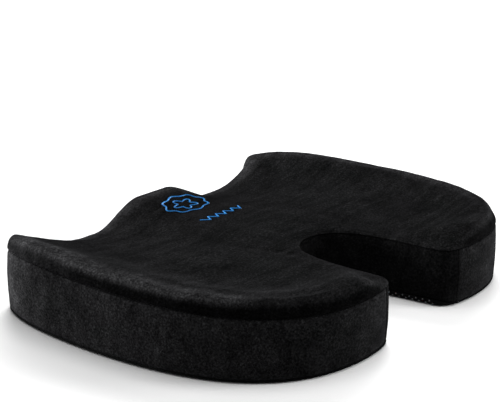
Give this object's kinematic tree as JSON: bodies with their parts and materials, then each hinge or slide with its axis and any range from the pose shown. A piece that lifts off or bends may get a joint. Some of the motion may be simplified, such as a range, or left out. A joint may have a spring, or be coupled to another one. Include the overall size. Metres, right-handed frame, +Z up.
{
  "type": "contoured seat cushion",
  "caption": "Contoured foam seat cushion with a tailbone cut-out, thigh grooves, velour cover, non-slip base and a zip with slider and pull tab.",
  "frame": {"origin": "middle of the base, at the level of the surface it lies on", "axes": "+X across the seat to the sitter's right as seen from the rear, +Y towards the rear where the tailbone cut-out opens, +Z up"},
  "size_m": [0.4494, 0.3317, 0.0753],
  "materials": {
    "velour": "matte",
    "grip_cloth": "matte",
    "memory_foam": "matte",
    "blue_thread": "satin",
    "label_satin": "satin",
    "zip_tape": "matte",
    "zip_teeth": "satin",
    "zip_metal": "satin"
  },
  "bodies": {
    "cushion": {"foam_core": "memory_foam", "top_panel": "velour", "side_band_right": "velour", "side_band_left": "velour", "cutout_band": "velour", "zip_gusset_upper": "velour", "zip_gusset_lower": "velour", "bottom_panel": "grip_cloth", "care_label": "label_satin", "embroidered_ring": "blue_thread", "embroidered_rosette": "blue_thread", "embroidered_row": "blue_thread", "zip_tape_upper": "zip_tape", "zip_tape_lower": "zip_tape", "zip_teeth_upper": "zip_teeth", "zip_teeth_lower": "zip_teeth", "zip_stop_top_upper": "zip_metal", "zip_stop_top_lower": "zip_metal", "zip_stop_bottom": "zip_metal"},
    "slider": {"zip_slider": "zip_metal"},
    "pull": {"zip_pull": "zip_metal"}
  },
  "joints": [
    {"name": "zip_travel", "type": "slide", "parent": "cushion", "child": "slider", "axis": [-1, 0, 0], "range_m": [0, 0.211]},
    {"name": "pull_flip", "type": "hinge", "parent": "slider", "child": "pull", "pos_m": [0.1055, -0.1582, 0.02], "axis": [0, 0, 1], "range_deg": [0, 180]}
  ]
}
